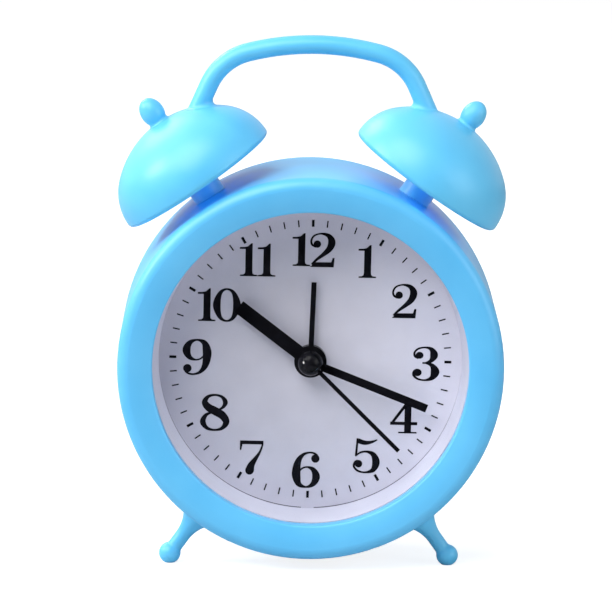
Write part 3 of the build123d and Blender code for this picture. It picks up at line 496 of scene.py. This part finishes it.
# strokes hold x, y and width, balls x, y and radius, bars the corners of a flat area; a 9 is a turned 6
digitStrokes = {
    "0": {"closed": [(0.285, 0.5, 0.205), (0.19, 0.86, 0.11), (0, 0.975, 0.055), (-0.19, 0.86, 0.11),
                     (-0.285, 0.5, 0.205), (-0.19, 0.14, 0.11), (0, 0.025, 0.055), (0.19, 0.14, 0.11)]},
    "2": {"open": [(-0.2, 0.585, 0.05), (-0.31, 0.655, 0.06), (-0.335, 0.775, 0.055), (-0.25, 0.915, 0.05),
                   (-0.05, 0.975, 0.05), (0.16, 0.915, 0.12), (0.255, 0.745, 0.2), (0.195, 0.545, 0.17),
                   (0.02, 0.37, 0.11), (-0.18, 0.21, 0.07), (-0.31, 0.07, 0.06)],
          "ball": (-0.16, 0.67, 0.107),
          "bar": [(-0.365, 0.0), (0.325, 0.0), (0.345, 0.275), (0.29, 0.275), (0.25, 0.145), (-0.2, 0.14)]},
    "3": {"open": [(-0.19, 0.655, 0.05), (-0.285, 0.72, 0.055), (-0.285, 0.84, 0.05), (-0.19, 0.94, 0.05),
                   (-0.02, 0.975, 0.05), (0.13, 0.925, 0.11), (0.2, 0.765, 0.19), (0.135, 0.6, 0.11),
                   (0.0, 0.53, 0.05), (-0.09, 0.525, 0.045)],
          "second": [(-0.09, 0.525, 0.045), (0.01, 0.52, 0.05), (0.16, 0.45, 0.12), (0.235, 0.27, 0.21),
                     (0.155, 0.09, 0.12), (-0.02, 0.025, 0.05), (-0.2, 0.06, 0.055), (-0.305, 0.165, 0.06),
                     (-0.29, 0.28, 0.06), (-0.22, 0.335, 0.05)],
          "ball": (-0.165, 0.745, 0.1), "secondBall": (-0.21, 0.245, 0.108)},
    "5": {"open": [(-0.235, 0.93, 0.13), (-0.1, 0.885, 0.125), (0.02, 0.875, 0.105), (0.17, 0.905, 0.07),
                   (0.31, 0.965, 0.03)],
          "second": [(-0.31, 0.485, 0.03), (-0.17, 0.59, 0.05), (0.02, 0.62, 0.06), (0.205, 0.535, 0.14),
                     (0.285, 0.32, 0.205), (0.205, 0.1, 0.13), (-0.01, 0.025, 0.05), (-0.23, 0.065, 0.055),
                     (-0.345, 0.19, 0.06), (-0.315, 0.315, 0.06), (-0.235, 0.365, 0.05)],
          "ball": (-0.215, 0.268, 0.108),
          "bar": [(-0.285, 1.0), (-0.225, 1.0), (-0.26, 0.485), (-0.325, 0.485)]},
    "6": {"open": [(0.31, 0.905, 0.04), (0.2, 0.965, 0.05), (0.06, 0.975, 0.05), (-0.1, 0.91, 0.085),
                   (-0.225, 0.74, 0.16), (-0.275, 0.5, 0.215), (-0.27, 0.3, 0.22), (-0.195, 0.1, 0.14),
                   (0.0, 0.025, 0.05), (0.19, 0.105, 0.13), (0.28, 0.305, 0.205), (0.2, 0.5, 0.13),
                   (0.04, 0.575, 0.05), (-0.1, 0.545, 0.045), (-0.19, 0.46, 0.04)],
          "ball": (0.25, 0.815, 0.115)},
    "7": {"open": [(0.325, 0.96, 0.05), (0.315, 0.85, 0.05), (0.245, 0.66, 0.065), (0.11, 0.45, 0.12),
                   (0.0, 0.28, 0.19), (-0.045, 0.13, 0.25)],
          "ball": (-0.048, 0.128, 0.126),
          "bar": [(-0.345, 0.99), (0.35, 0.99), (0.35, 0.885), (-0.27, 0.885), (-0.305, 0.71),
                  (-0.345, 0.71)]},
    "8": {"closed": [(0.0, 0.968, 0.055), (-0.18, 0.92, 0.085), (-0.265, 0.775, 0.15), (-0.17, 0.635, 0.19),
                     (0.02, 0.53, 0.21), (0.205, 0.42, 0.2), (0.305, 0.25, 0.165), (0.2, 0.08, 0.09),
                     (0.0, 0.03, 0.055), (-0.2, 0.08, 0.09), (-0.31, 0.245, 0.145), (-0.235, 0.42, 0.09),
                     (-0.08, 0.5, 0.05), (0.11, 0.575, 0.05), (0.225, 0.655, 0.08), (0.275, 0.785, 0.125),
                     (0.18, 0.92, 0.075)]},
}
digitBars = {
    "1": [[(-0.27, 0.0), (0.27, 0.0), (0.27, 0.042), (0.165, 0.052), (0.118, 0.09), (0.11, 0.16),
           (0.11, 1.0), (0.065, 1.0), (-0.04, 0.905), (-0.15, 0.885), (-0.29, 0.88), (-0.29, 0.825),
           (-0.11, 0.825), (-0.11, 0.16), (-0.118, 0.09), (-0.165, 0.052), (-0.27, 0.042)]],
    "4": [[(0.02, 0.045), (0.225, 0.045), (0.225, 1.0), (0.10, 1.0), (0.02, 0.9)],
          [(-0.16, 0.0), (0.395, 0.0), (0.395, 0.045), (-0.16, 0.045)],
          [(-0.41, 0.255), (0.41, 0.255), (0.41, 0.35), (-0.41, 0.35)],
          [(-0.41, 0.3), (-0.31, 0.3), (0.14, 0.92), (0.14, 1.0), (0.09, 1.0)]],
}


def smoothStroke(points, closed):
    # a Catmull-Rom curve through every point; x, y and width change smoothly
    count = len(points)
    samples = []
    for index in range(count if closed else count - 1):
        if closed:
            before, start, end, after = (Vector(points[(index + k) % count]) for k in (-1, 0, 1, 2))
        else:
            start, end = Vector(points[index]), Vector(points[index + 1])
            before = Vector(points[index - 1]) if index else start * 2 - end
            after = Vector(points[index + 2]) if index + 2 < count else end * 2 - start
        for step in range(numerals["steps"]):
            t = step / numerals["steps"]
            samples.append(0.5 * (2 * start + (end - before) * t
                                  + (2 * before - 5 * start + 4 * end - after) * t * t
                                  + (3 * start - before - 3 * end + after) * t ** 3))
    samples.append(samples[0] if closed else Vector(points[-1]))
    return samples


def strokeQuads(points, closed):
    samples = smoothStroke(points, closed)
    last = len(samples) - 1
    sides = []
    for index, sample in enumerate(samples):
        if closed:
            ahead, behind = samples[(index + 1) % last], samples[(index - 1) % last]
        else:
            ahead, behind = samples[min(index + 1, last)], samples[max(index - 1, 0)]
        along = (ahead - behind).to_2d().normalized()
        across = Vector((-along.y, along.x)) * sample.z * numerals["weight"] / 2
        sides.append((sample.to_2d() + across, sample.to_2d() - across))
    return [[a[0], a[1], b[1], b[0]] for a, b in zip(sides, sides[1:])]


def digitOutlines(digit):
    if digit == "9":
        return [[Vector((-p.x, 1 - p.y)) for p in outline] for outline in digitOutlines("6")]
    outlines = [[Vector(p) for p in bar] for bar in digitBars.get(digit, [])]
    shape = digitStrokes.get(digit, {})
    if "closed" in shape:
        outlines += strokeQuads(shape["closed"], True)
    for part in ("open", "second"):
        if part in shape:
            outlines += strokeQuads(shape[part], False)
    for part in ("ball", "secondBall"):
        if part in shape:
            outlines.append(circlePoints(*shape[part], numerals["ballSides"]))
    if "bar" in shape:
        outlines.append([Vector(p) for p in shape["bar"]])
    return outlines


def flatAreas(points, rings):
    # cuts the plane along the rings: all points, and for each inner area its corners and the rings round it
    cut = delaunay_2d_cdt(points, [], rings, 0, weldGap)
    return cut[0], [(area, around) for area, around in zip(cut[2], cut[5]) if around]


def fillOutlines(shape, outlines, thickness):
    # joins overlapping outlines into one flat area and gives it a thickness
    points, rings = [], []
    for outline in outlines:
        turning = sum(a.cross(b) for a, b in zip(outline, outline[1:] + outline[:1]))
        rings.append(list(range(len(points), len(points) + len(outline))))
        points += outline if turning > 0 else outline[::-1]
    flat, areas = flatAreas(points, rings)
    corners = [shape.verts.new((p.x, p.y, 0)) for p in flat]
    faces = [shape.faces.new([corners[k] for k in area]) for area, around in areas]
    bmesh.ops.recalc_face_normals(shape, faces=faces)
    for face in faces:
        if face.normal.z < 0:
            face.normal_flip()
    lifted = bmesh.ops.extrude_face_region(shape, geom=faces)["geom"]
    for corner in cornersIn(lifted):
        corner.co.z = thickness
    bmesh.ops.delete(shape, geom=[c for c in corners if not c.link_faces], context="VERTS")


def numeralMesh():
    whole = bmesh.new()
    height = numerals["height"]
    for hour, place in numeralPlaces.items():
        text = str(hour)
        centre = Vector(place) * mm
        outlines = []
        for digit, shift in zip(text, pairPitch.get(text, (0.0,))):
            wide, tall = digitStretch[digit]
            for outline in digitOutlines(digit):
                printed = [Vector((p.x * wide + shift, (p.y - 0.5) * tall)) * height for p in outline]
                outlines.append([p + centre for p in printed])
        part = bmesh.new()
        fillOutlines(part, outlines, numerals["ink"])
        mesh = meshFromBmesh("numeral", part)
        whole.from_mesh(mesh)
        bpy.data.meshes.remove(mesh)
    return meshFromBmesh("dialNumerals", whole)


inkFinish = {
    "name": "printInk", "low": srgb(8, 8, 15), "high": srgb(14, 14, 23), "mottle": 900,
    "rough": (0.5, 0.6), "grain": 3000, "depth": 0.004 * mm, "shine": 0.1, "metal": 0.0,
}
printInk = moulded(inkFinish)
numeralPiece = newObject("dialNumerals", numeralMesh())
numeralPiece.data.transform(dialPlane)
numeralPiece.data.materials.append(printInk)
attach(numeralPiece, "case")
print("numerals printed,", len(numeralPiece.data.polygons), "faces")


# minute track: short bars round the dial, wider at the hours
track = {
    "Count": 60,
    "Every": 5,
    "Radius": 37.35 * mm,
    "Length": 1.9 * mm,
    "Width": 0.36 * mm,
    "HourWidth": 0.72 * mm,
    "Thickness": 0.05 * mm,
}


def nodeTree(name, inputs):
    tree = bpy.data.node_groups.new(name, "GeometryNodeTree")
    tree.is_modifier = True
    tree.interface.new_socket("Geometry", in_out="INPUT", socket_type="NodeSocketGeometry")
    for label, value in inputs.items():
        kind = "NodeSocketInt" if isinstance(value, int) else "NodeSocketFloat"
        tree.interface.new_socket(label, in_out="INPUT", socket_type=kind)
    tree.interface.new_socket("Geometry", in_out="OUTPUT", socket_type="NodeSocketGeometry")
    return tree, tree.nodes.new("NodeGroupInput").outputs, tree.nodes.new("NodeGroupOutput")


def endTree(tree, geometry, output, material):
    realize = addNode(tree, "GeometryNodeRealizeInstances", {0: geometry})
    paint = addNode(tree, "GeometryNodeSetMaterial", {"Geometry": realize.outputs[0], "Material": material})
    tree.links.new(paint.outputs[0], output.inputs[0])


def grown(name, mesh, tree, inputs):
    # runs a node tree on a mesh and returns a plain object with the result
    host = newObject(name + "Host", mesh)
    modifier = host.modifiers.new(name, "NODES")
    modifier.node_group = tree
    for item in tree.interface.items_tree:
        if item.in_out == "INPUT" and item.name in inputs:
            modifier[item.identifier] = inputs[item.name]
    bpy.context.view_layer.update()
    evaluated = host.evaluated_get(bpy.context.evaluated_depsgraph_get())
    result = bpy.data.meshes.new_from_object(evaluated)
    host.modifiers.remove(modifier)
    bpy.data.objects.remove(host)
    result.name = name
    return newObject(name, result)


def trackTree(material):
    tree, sizes, output = nodeTree("minuteTrack", track)
    ring = addNode(tree, "GeometryNodeMeshCircle", {"Vertices": sizes["Count"], "Radius": sizes["Radius"]})
    place = tree.nodes.new("GeometryNodeInputPosition")
    apart = addNode(tree, "ShaderNodeSeparateXYZ", {0: place.outputs[0]})
    angle = mathNode(tree, "ARCTAN2", apart.outputs["Y"], apart.outputs["X"])
    turn = addNode(tree, "ShaderNodeCombineXYZ", {"Z": angle})
    index = tree.nodes.new("GeometryNodeInputIndex")
    rest = mathNode(tree, "MODULO", index.outputs[0], sizes["Every"])
    nearZero = 0.5  # the rest is a whole number, so this parts zero from all others
    onHour = mathNode(tree, "LESS_THAN", rest, nearZero)
    between = mathNode(tree, "GREATER_THAN", rest, nearZero)
    join = tree.nodes.new("GeometryNodeJoinGeometry")
    for width, chosen in (("Width", between), ("HourWidth", onHour)):
        edges = {"X": sizes["Length"], "Y": sizes[width], "Z": sizes["Thickness"]}
        size = addNode(tree, "ShaderNodeCombineXYZ", edges)
        bar = addNode(tree, "GeometryNodeMeshCube", {"Size": size.outputs[0]})
        copies = addNode(tree, "GeometryNodeInstanceOnPoints", {
            "Points": ring.outputs["Mesh"], "Selection": chosen,
            "Instance": bar.outputs["Mesh"], "Rotation": turn.outputs[0],
        })
        tree.links.new(copies.outputs[0], join.inputs[0])
    endTree(tree, join.outputs[0], output, material)
    return tree


trackPiece = grown("minuteTrack", bpy.data.meshes.new("minuteTrackHost"), trackTree(printInk), track)
trackPiece.data.transform(dialPlane @ Matrix.Translation((0, 0, track["Thickness"] / 2)))
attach(trackPiece, "case")
print("minute track printed,", len(trackPiece.data.polygons), "faces")


# painted shadow: a dark ring drawn on the dial where the gap between the dial and the sight ring lies in
# shade, fading up the sides as that shade fades, and broken by the card's key
gapShadowRing = {
    "radius": 41.12 * mm,
    "width": 0.2 * mm,
    "lost": 0.95,
    "lift": 0.01 * mm,
    "keyHalf": 1.75 * mm,
    "spread": math.radians(85),
    "steps": 60,
}
# colour of the painted shadow ring: dark grey where the gap lies in shade
gapShadowFinish = {
    "name": "gapShadow", "low": srgb(58, 56, 66), "high": srgb(78, 76, 88), "mottle": 300,
    "rough": (0.7, 0.8), "grain": 2000, "depth": 0.002 * mm, "shine": 0.1, "metal": 0.0,
}


# draws the painted shadow ring in two halves, narrowing up the sides where the shade fades
def gapLineMesh():
    shape = bmesh.new()
    radius = gapShadowRing["radius"]
    start = gapShadowRing["keyHalf"] / radius
    for side in (-1, 1):
        outer, inner = [], []
        for step in range(gapShadowRing["steps"] + 1):
            share = step / gapShadowRing["steps"]
            turn = side * (start + (gapShadowRing["spread"] - start) * share)
            towards = Vector((math.sin(turn), -math.cos(turn)))
            outer.append(towards * radius)
            inner.append(towards * (radius - gapShadowRing["width"] * (1 - gapShadowRing["lost"] * share)))
        fillOutlines(shape, [outer + inner[::-1]], gapShadowRing["lift"])
    return meshFromBmesh("dialGapLine", shape)


# lays the painted shadow ring on the dial
gapShadowPiece = newObject("dialGapLine", gapLineMesh())
gapShadowPiece.data.transform(dialPlane)
gapShadowPiece.data.materials.append(moulded(gapShadowFinish))
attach(gapShadowPiece, "case")
print("dial edge drawn")


# printed marks on the back, in mm as seen from behind, to the right and up from the hands' axis
knobLow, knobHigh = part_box("time_knob")
alarmLow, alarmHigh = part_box("alarm_knob")
switchLow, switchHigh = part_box("alarm_switch")
doorLow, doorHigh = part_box("battery_door")
rearMarks = {
    "height": 0.04 * mm,
    "knobGap": 0.5 * mm,
    "arcRadius": 8.4,
    "arcWidth": 0.7,
    "arcFrom": 48,
    "arcTo": 130,
    "arcSteps": 24,
    "headLength": 2.6,
    "headWidth": 2.5,
    "iconRise": 12.0,
    "switchSide": 8.2,
    "dotRadius": 0.8,
    "dotSides": 28,
    "ringRadius": 0.85,
    "ringWidth": 0.4,
    "poleSide": 20.5,
    "poleSize": 4.2,
    "poleWidth": 0.95,
}
clockIcon = {
    "radius": 2.3,
    "line": 0.5,
    "minuteAt": (0, 0.65),
    "minuteSize": (0.45, 1.6),
    "hourAt": (0.45, -0.05),
    "hourSize": (1.3, 0.45),
}
bellIcon = {
    "domeRise": 0.3,
    "domeWide": 1.55,
    "domeTall": 1.9,
    "domeStep": 12,
    "skirtHalf": 2.2,
    "skirtDrop": 1.5,
    "clapperAt": (0, -2.15),
    "clapperSize": (1.1, 0.6),
    "crownAt": (0, 2.4),
    "crownSize": (0.6, 0.7),
}
# drawing plane on the back: x to the viewer's right, y up, z out of the cover
rearPlane = Matrix.Translation((0, knobLow.y - rearMarks["knobGap"], axisHeight)) @ Matrix((
    (-1, 0, 0, 0), (0, 0, 1, 0), (0, 1, 0, 0), (0, 0, 0, 1)))


def rearPlace(low, high):
    return Vector((-(low.x + high.x) / 2 / mm, ((low.z + high.z) / 2 - axisHeight) / mm))


def arcBand(centre, radius, width, start, end):
    steps = rearMarks["arcSteps"]
    turns = [math.radians(start + (end - start) * k / steps) for k in range(steps + 1)]
    rays = [Vector((math.cos(t), math.sin(t))) for t in turns]
    outer = [centre + ray * (radius + width / 2) for ray in rays]
    inner = [centre + ray * (radius - width / 2) for ray in rays]
    return outer + inner[::-1]


def ringBands(centre, radius, width):
    return [arcBand(centre, radius, width, start, start + 180) for start in (0, 180)]


def arrowHead(centre, radius, angle):
    turn = math.radians(angle)
    out = Vector((math.cos(turn), math.sin(turn)))
    along = Vector((out.y, -out.x))
    foot = centre + out * radius
    half = rearMarks["headWidth"] / 2
    return [foot - out * half, foot + along * rearMarks["headLength"], foot + out * half]


def barOutline(centre, at, size):
    corners = ((-0.5, -0.5), (0.5, -0.5), (0.5, 0.5), (-0.5, 0.5))
    return [centre + Vector(at) + Vector((a * size[0], b * size[1])) for a, b in corners]


def turnMark(centre):
    reach = rearMarks["arcRadius"]
    band = arcBand(centre, reach, rearMarks["arcWidth"], rearMarks["arcFrom"], rearMarks["arcTo"])
    return [band, arrowHead(centre, reach, rearMarks["arcFrom"])]


def iconBars(icon, centre, names):
    return [barOutline(centre, icon[name + "At"], icon[name + "Size"]) for name in names]


def clockMark(centre):
    face = ringBands(centre, clockIcon["radius"], clockIcon["line"])
    return face + iconBars(clockIcon, centre, ("minute", "hour"))


def bellMark(centre):
    turns = [math.radians(a) for a in range(0, 181, bellIcon["domeStep"])]
    top = centre + Vector((0, bellIcon["domeRise"]))
    wide, tall = bellIcon["domeWide"], bellIcon["domeTall"]
    dome = [top + Vector((wide * math.cos(t), tall * math.sin(t))) for t in turns]
    skirt = [centre + Vector((side * bellIcon["skirtHalf"], -bellIcon["skirtDrop"])) for side in (-1, 1)]
    return [dome + skirt] + iconBars(bellIcon, centre, ("clapper", "crown"))


def addMarks(name, outlines, body):
    shape = bmesh.new()
    fillOutlines(shape, [[p * mm for p in outline] for outline in outlines], rearMarks["height"])
    piece = newObject(name, meshFromBmesh(name, shape))
    piece.data.transform(rearPlane)
    piece.data.materials.append(materials["white_plastic"])
    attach(piece, body)


timePlace = rearPlace(knobLow, knobHigh)
alarmPlace = rearPlace(alarmLow, alarmHigh)
switchPlace = Vector((rearMarks["switchSide"], rearPlace(switchLow, switchHigh).y))
doorPlace = Vector((0, rearPlace(doorLow, doorHigh).y))
iconRise = Vector((0, rearMarks["iconRise"]))
coverOutlines = turnMark(timePlace) + clockMark(timePlace + iconRise)
coverOutlines += turnMark(alarmPlace) + bellMark(alarmPlace + iconRise)
dot = circlePoints(-switchPlace.x, switchPlace.y, rearMarks["dotRadius"], rearMarks["dotSides"])
ring = ringBands(switchPlace, rearMarks["ringRadius"], rearMarks["ringWidth"])
addMarks("rearMarks", coverOutlines + [dot] + ring, "case")
poleSide = rearMarks["poleSide"]
poleBar = (rearMarks["poleSize"], rearMarks["poleWidth"])
plus = [barOutline(doorPlace, (-poleSide, 0), size) for size in (poleBar, poleBar[::-1])]
minus = [barOutline(doorPlace, (poleSide, 0), poleBar)]
addMarks("doorMarks", plus + minus, "battery_door")
print("rear marks printed")


# case screws: one head with a cross recess, set four times with its own turn each
caseScrew = {
    "headRadius": 2.2 * mm,
    "headHeight": 1.3 * mm,
    "crown": 0.28 * mm,
    "chamfer": 0.25 * mm,
    "recessLength": 3.1 * mm,
    "recessWidth": 0.8 * mm,
    "recessDepth": 1.1 * mm,
    "recessTaper": 0.4,
    "shankRadius": 0.97 * mm,
    "shankLength": 9.1 * mm,
    "sides": 40,
    "crownRings": (0.72, 0.86),
    "crownSides": 20,
    "shankSides": 24,
}
screwSettings = {"Turn": 1.57, "Seed": 7}


def crossOutline():
    half, thin = caseScrew["recessLength"] / 2, caseScrew["recessWidth"] / 2
    arm = [Vector((thin, half)), Vector((-thin, half)), Vector((-thin, thin))]
    return [Matrix.Rotation(quarter * math.pi / 2, 2) @ p for quarter in range(4) for p in arm]


def screwTop(shape):
    # crowned top with the tapered recess sunk into it
    head = caseScrew["headRadius"]
    edge = circlePoints(0, 0, head - caseScrew["chamfer"], caseScrew["sides"])
    cross = crossOutline()
    crown = [p for share in caseScrew["crownRings"]
             for p in circlePoints(0, 0, share * head, caseScrew["crownSides"])]
    rings = [list(range(len(edge))), list(range(len(edge), len(edge) + len(cross)))]
    flat, areas = flatAreas(edge + cross + crown, rings)
    fall = caseScrew["crown"] / head ** 2
    corners = [shape.verts.new((p.x, p.y, -fall * p.length_squared)) for p in flat]
    made = [(shape.faces.new([corners[k] for k in area]), around) for area, around in areas]
    sunk = [face for face, around in made if 1 in around]
    rim = [line for line in shape.edges if len(line.link_faces) == 1]
    floor = bmesh.ops.extrude_face_region(shape, geom=sunk)["geom"]
    bmesh.ops.delete(shape, geom=[face for face in sunk if face.is_valid], context="FACES_ONLY")
    taper = caseScrew["recessTaper"]
    for corner in cornersIn(floor):
        corner.co = (corner.co.x * taper, corner.co.y * taper, -caseScrew["recessDepth"])
    return rim


def screwMesh():
    # axis along +z, the crown's top at zero
    shape = bmesh.new()
    rim = screwTop(shape)
    head, chamfer = caseScrew["headRadius"], caseScrew["chamfer"]
    bottom = -caseScrew["headHeight"]
    for scale, level in ((head / (head - chamfer), -caseScrew["crown"] - chamfer), (1.0, bottom)):
        wall = bmesh.ops.extrude_edge_only(shape, edges=rim)["geom"]
        for corner in cornersIn(wall):
            corner.co = (corner.co.x * scale, corner.co.y * scale, level)
        rim = [item for item in wall if isinstance(item, bmesh.types.BMEdge)]
    bmesh.ops.edgeloop_fill(shape, edges=rim)
    radius, length = caseScrew["shankRadius"], caseScrew["shankLength"]
    bmesh.ops.create_cone(shape, cap_ends=True, segments=caseScrew["shankSides"], radius1=radius,
                          radius2=radius, depth=length,
                          matrix=Matrix.Translation((0, 0, bottom - length / 2)))
    bmesh.ops.recalc_face_normals(shape, faces=shape.faces)
    return meshFromBmesh("screwHead", shape)


def screwTree(screw, material):
    tree, settings, output = nodeTree("caseScrews", screwSettings)
    pattern = addNode(tree, "GeometryNodeObjectInfo", {"Object": screw})
    limits = {"Max": settings["Turn"], "Seed": settings["Seed"]}
    spread = addNode(tree, "FunctionNodeRandomValue", limits)
    turn = addNode(tree, "ShaderNodeCombineXYZ", {"Z": spread.outputs["Value"]})
    copies = addNode(tree, "GeometryNodeInstanceOnPoints", {
        "Points": settings["Geometry"], "Instance": pattern.outputs["Geometry"],
        "Rotation": turn.outputs[0],
    })
    endTree(tree, copies.outputs[0], output, material)
    return tree


def screwPlaces():
    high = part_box("case_screws")[1]
    right = high.x - caseScrew["headRadius"]
    up = high.z - axisHeight - caseScrew["headRadius"]
    shape = bmesh.new()
    for x in (-right, right):
        for y in (-up, up):
            shape.verts.new((x, y, 0))
    return meshFromBmesh("screwPlaces", shape), high.y


screwHead = newObject("screwHead", screwMesh())
screwHost, screwLevel = screwPlaces()
screwPiece = grown("crossScrews", screwHost, screwTree(screwHead, materials["bright_steel"]), screwSettings)
bpy.data.objects.remove(screwHead)
screwPiece.data.transform(Matrix.Translation((0, screwLevel, axisHeight)) @ rearPlane.to_3x3().to_4x4())
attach(screwPiece, "case")
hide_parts("case_screws")
print("screws set,", len(screwPiece.data.polygons), "faces")


# motor coil: one layer of wire wound in a spiral over a plain ring, joined in the node tree
coil = {
    "wireRadius": 0.2 * mm,
    "bore": 2.18 * mm,
    "sink": 0.06 * mm,
    "steps": 28,
    "wireSides": 8,
    "ringSides": 48,
}
coilLow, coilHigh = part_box("coil_winding")
coilRadius = (coilHigh.x - coilLow.x) / 2
coilHeight = coilHigh.z - coilLow.z
coilWire = {
    "Rotations": coilHeight / (2 * coil["wireRadius"]) - 1,
    "Start Radius": coilRadius - coil["wireRadius"],
    "End Radius": coilRadius - coil["wireRadius"],
    "Height": coilHeight - 2 * coil["wireRadius"],
    "Wire": coil["wireRadius"],
}


def ringMesh(name, inner, outer, low, high):
    shape = bmesh.new()
    profile = ((inner, low), (outer, low), (outer, high), (inner, high))
    turns = [2 * math.pi * k / coil["ringSides"] for k in range(coil["ringSides"])]
    loops = [[shape.verts.new((r * math.cos(t), r * math.sin(t), z)) for r, z in profile] for t in turns]
    for here, after in zip(loops, loops[1:] + loops[:1]):
        for k in range(len(profile)):
            shape.faces.new((here[k - 1], after[k - 1], after[k], here[k]))
    bmesh.ops.recalc_face_normals(shape, faces=shape.faces)
    return meshFromBmesh(name, shape)


def coilTree(material):
    tree, sizes, output = nodeTree("coilTurns", coilWire)
    path = {label: sizes[label] for label in ("Rotations", "Start Radius", "End Radius", "Height")}
    spiral = addNode(tree, "GeometryNodeCurveSpiral", {"Resolution": coil["steps"], **path})
    section = addNode(tree, "GeometryNodeCurvePrimitiveCircle", {
        "Resolution": coil["wireSides"], "Radius": sizes["Wire"],
    })
    sweep = addNode(tree, "GeometryNodeCurveToMesh", {
        "Curve": spiral.outputs["Curve"], "Profile Curve": section.outputs["Curve"], "Fill Caps": True,
    })
    join = tree.nodes.new("GeometryNodeJoinGeometry")
    for geometry in (sizes["Geometry"], sweep.outputs["Mesh"]):
        tree.links.new(geometry, join.inputs[0])
    endTree(tree, join.outputs[0], output, material)
    return tree


coilBase = ringMesh("coilBase", coil["bore"], coilRadius - coil["wireRadius"] - coil["sink"],
                    -coil["wireRadius"], coilHeight - coil["wireRadius"])
coilPiece = grown("coilTurns", coilBase, coilTree(materials["copper_wire"]), coilWire)
coilFoot = (coilLow + coilHigh) / 2
coilFoot.z = coilLow.z + coil["wireRadius"]
coilPiece.data.transform(Matrix.Translation(coilFoot))
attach(coilPiece, "case")
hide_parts("coil_winding")
print("coil wound,", len(coilPiece.data.polygons), "faces")
